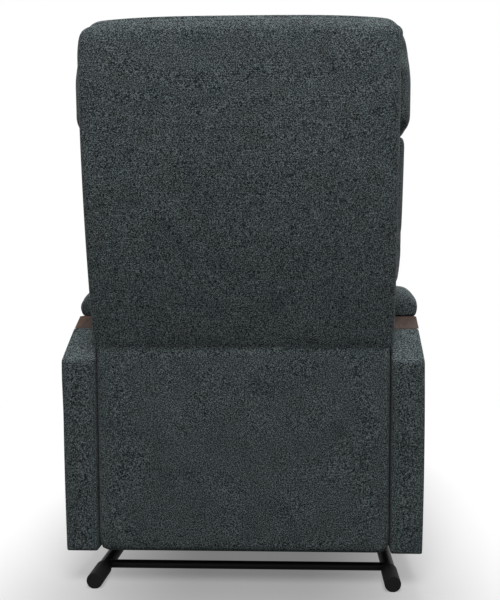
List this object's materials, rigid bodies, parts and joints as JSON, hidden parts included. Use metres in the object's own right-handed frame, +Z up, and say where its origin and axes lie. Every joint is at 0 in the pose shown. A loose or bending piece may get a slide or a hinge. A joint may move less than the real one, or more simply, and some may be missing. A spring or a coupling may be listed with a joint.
{
  "type": "wall hugger recliner",
  "caption": "Upholstered recliner whose seat rolls forward on a tube base as the tall back leans, with walnut arm rails, padded arms and a folding footrest.",
  "frame": {"origin": "on the floor under the middle of the chair's bounding box", "axes": "+Z up, the chair faces -Y, +X is the seated person's left"},
  "size_m": [0.762, 0.8359, 1.186],
  "materials": {
    "upholstery": "woven chenille-like fabric, matt",
    "walnut": "satin brown walnut",
    "frame_timber": "sawn softwood",
    "plywood": "plain plywood",
    "tube_steel": "black powder coat",
    "cap_rubber": "matt black rubber",
    "black_steel": "black painted pressed steel",
    "zinc_steel": "zinc plated",
    "nylon": "natural nylon",
    "black_plastic": "fine textured black plastic",
    "deck_cloth": "black felted deck cloth",
    "webbing": "elastic upholstery webbing"
  },
  "bodies": {
    "base": {"base_rail_left": "tube_steel", "base_rail_right": "tube_steel", "base_cross_tube_rear": "tube_steel", "base_cross_tube_front": "tube_steel", "rail_caps_rear": "cap_rubber", "rail_caps_front": "cap_rubber"},
    "chassis": {"arm_cover_left": "upholstery", "arm_cover_right": "upholstery", "arm_frame_left": "frame_timber", "arm_frame_right": "frame_timber", "arm_pad_left": "upholstery", "arm_pad_right": "upholstery", "arm_rail_left": "walnut", "arm_rail_right": "walnut", "carriage_left": "black_steel", "carriage_right": "black_steel", "corner_blocks": "frame_timber", "frame_bolts": "zinc_steel", "pivot_pins": "zinc_steel", "pivot_spacers": "nylon", "release_cup": "black_plastic", "release_pin": "zinc_steel", "roller_axles": "zinc_steel", "seat_cushion": "upholstery", "seat_deck": "deck_cloth", "seat_front_rail": "frame_timber", "seat_rear_rail": "frame_timber", "seat_side_rails": "frame_timber", "seat_springs": "zinc_steel", "side_plate_left": "black_steel", "side_plate_right": "black_steel", "spring_clips": "zinc_steel"},
    "back": {"lower_back_cover": "upholstery", "upper_back_cover": "upholstery", "back_posts": "frame_timber", "back_rails": "frame_timber", "back_webbing": "webbing", "hinge_plates": "black_steel", "hinge_bushes": "nylon", "hinge_bolts": "zinc_steel", "head_cushion": "upholstery", "lumbar_cushion": "upholstery", "lower_back_cushion": "upholstery"},
    "footrest_arm_pair": {"footrest_arms": "black_steel", "footrest_torque_tube": "black_steel", "footrest_arm_rivets": "zinc_steel"},
    "cross_link_pair": {"cross_links": "black_steel", "slot_rod": "zinc_steel"},
    "stay_link_pair": {"stay_links": "black_steel"},
    "footboard_group": {"footboard_arms": "black_steel", "footboard_rivets": "zinc_steel", "footboard": "plywood", "footrest_pad": "upholstery"},
    "release_handle": {"release_paddle": "black_plastic"},
    "roller_rear_left_wheel": {"roller_rear_left": "nylon"},
    "roller_rear_right_wheel": {"roller_rear_right": "nylon"},
    "roller_front_left_wheel": {"roller_front_left": "nylon"},
    "roller_front_right_wheel": {"roller_front_right": "nylon"}
  },
  "joints": [
    {"name": "wall_glide", "type": "slide", "parent": "base", "child": "chassis", "axis": [0, -1, 0], "range_m": [0, 0.18]},
    {"name": "back_recline", "type": "hinge", "parent": "chassis", "child": "back", "pos_m": [0, 0.288, 0.43], "axis": [-1, 0, 0], "range_deg": [0, 30.01]},
    {"name": "footrest_swing", "type": "hinge", "parent": "chassis", "child": "footrest_arm_pair", "pos_m": [0, -0.282, 0.318], "axis": [-1, 0, 0], "range_deg": [0, 77.5]},
    {"name": "cross_link_swing", "type": "hinge", "parent": "footrest_arm_pair", "child": "cross_link_pair", "pos_m": [0, -0.29454, 0.19866], "axis": [-1, 0, 0], "range_deg": [-155.01, 0]},
    {"name": "stay_link_swing", "type": "hinge", "parent": "footrest_arm_pair", "child": "stay_link_pair", "pos_m": [0, -0.30709, 0.07931], "axis": [-1, 0, 0], "range_deg": [-155.01, 0]},
    {"name": "footboard_swing", "type": "hinge", "parent": "cross_link_pair", "child": "footboard_group", "pos_m": [0, -0.30709, 0.318], "axis": [-1, 0, 0], "range_deg": [0, 155.01]},
    {"name": "roller_rear_left_spin", "type": "hinge", "parent": "chassis", "child": "roller_rear_left_wheel", "pos_m": [0.317, 0.163, 0.0458], "axis": [1, 0, 0], "range_deg": [0, 738]},
    {"name": "roller_rear_right_spin", "type": "hinge", "parent": "chassis", "child": "roller_rear_right_wheel", "pos_m": [-0.317, 0.163, 0.0458], "axis": [1, 0, 0], "range_deg": [0, 738]},
    {"name": "roller_front_left_spin", "type": "hinge", "parent": "chassis", "child": "roller_front_left_wheel", "pos_m": [0.317, -0.127, 0.0458], "axis": [1, 0, 0], "range_deg": [0, 738]},
    {"name": "roller_front_right_spin", "type": "hinge", "parent": "chassis", "child": "roller_front_right_wheel", "pos_m": [-0.317, -0.127, 0.0458], "axis": [1, 0, 0], "range_deg": [0, 738]},
    {"name": "release_pull", "type": "hinge", "parent": "chassis", "child": "release_handle", "pos_m": [-0.373, -0.262, 0.429], "axis": [0, 1, 0], "range_deg": [0, 28], "stiffness_Nm_per_rad": 0.3}
  ],
  "couplings": [
    {"joint": "back_recline", "follows": "wall_glide", "rad_per_m": 2.9089},
    {"joint": "cross_link_swing", "follows": "footrest_swing", "ratio": -2},
    {"joint": "stay_link_swing", "follows": "footrest_swing", "ratio": -2},
    {"joint": "footboard_swing", "follows": "footrest_swing", "ratio": 2},
    {"joint": "roller_rear_left_spin", "follows": "wall_glide", "rad_per_m": 71.429},
    {"joint": "roller_rear_right_spin", "follows": "wall_glide", "rad_per_m": 71.429},
    {"joint": "roller_front_left_spin", "follows": "wall_glide", "rad_per_m": 71.429},
    {"joint": "roller_front_right_spin", "follows": "wall_glide", "rad_per_m": 71.429}
  ]
}
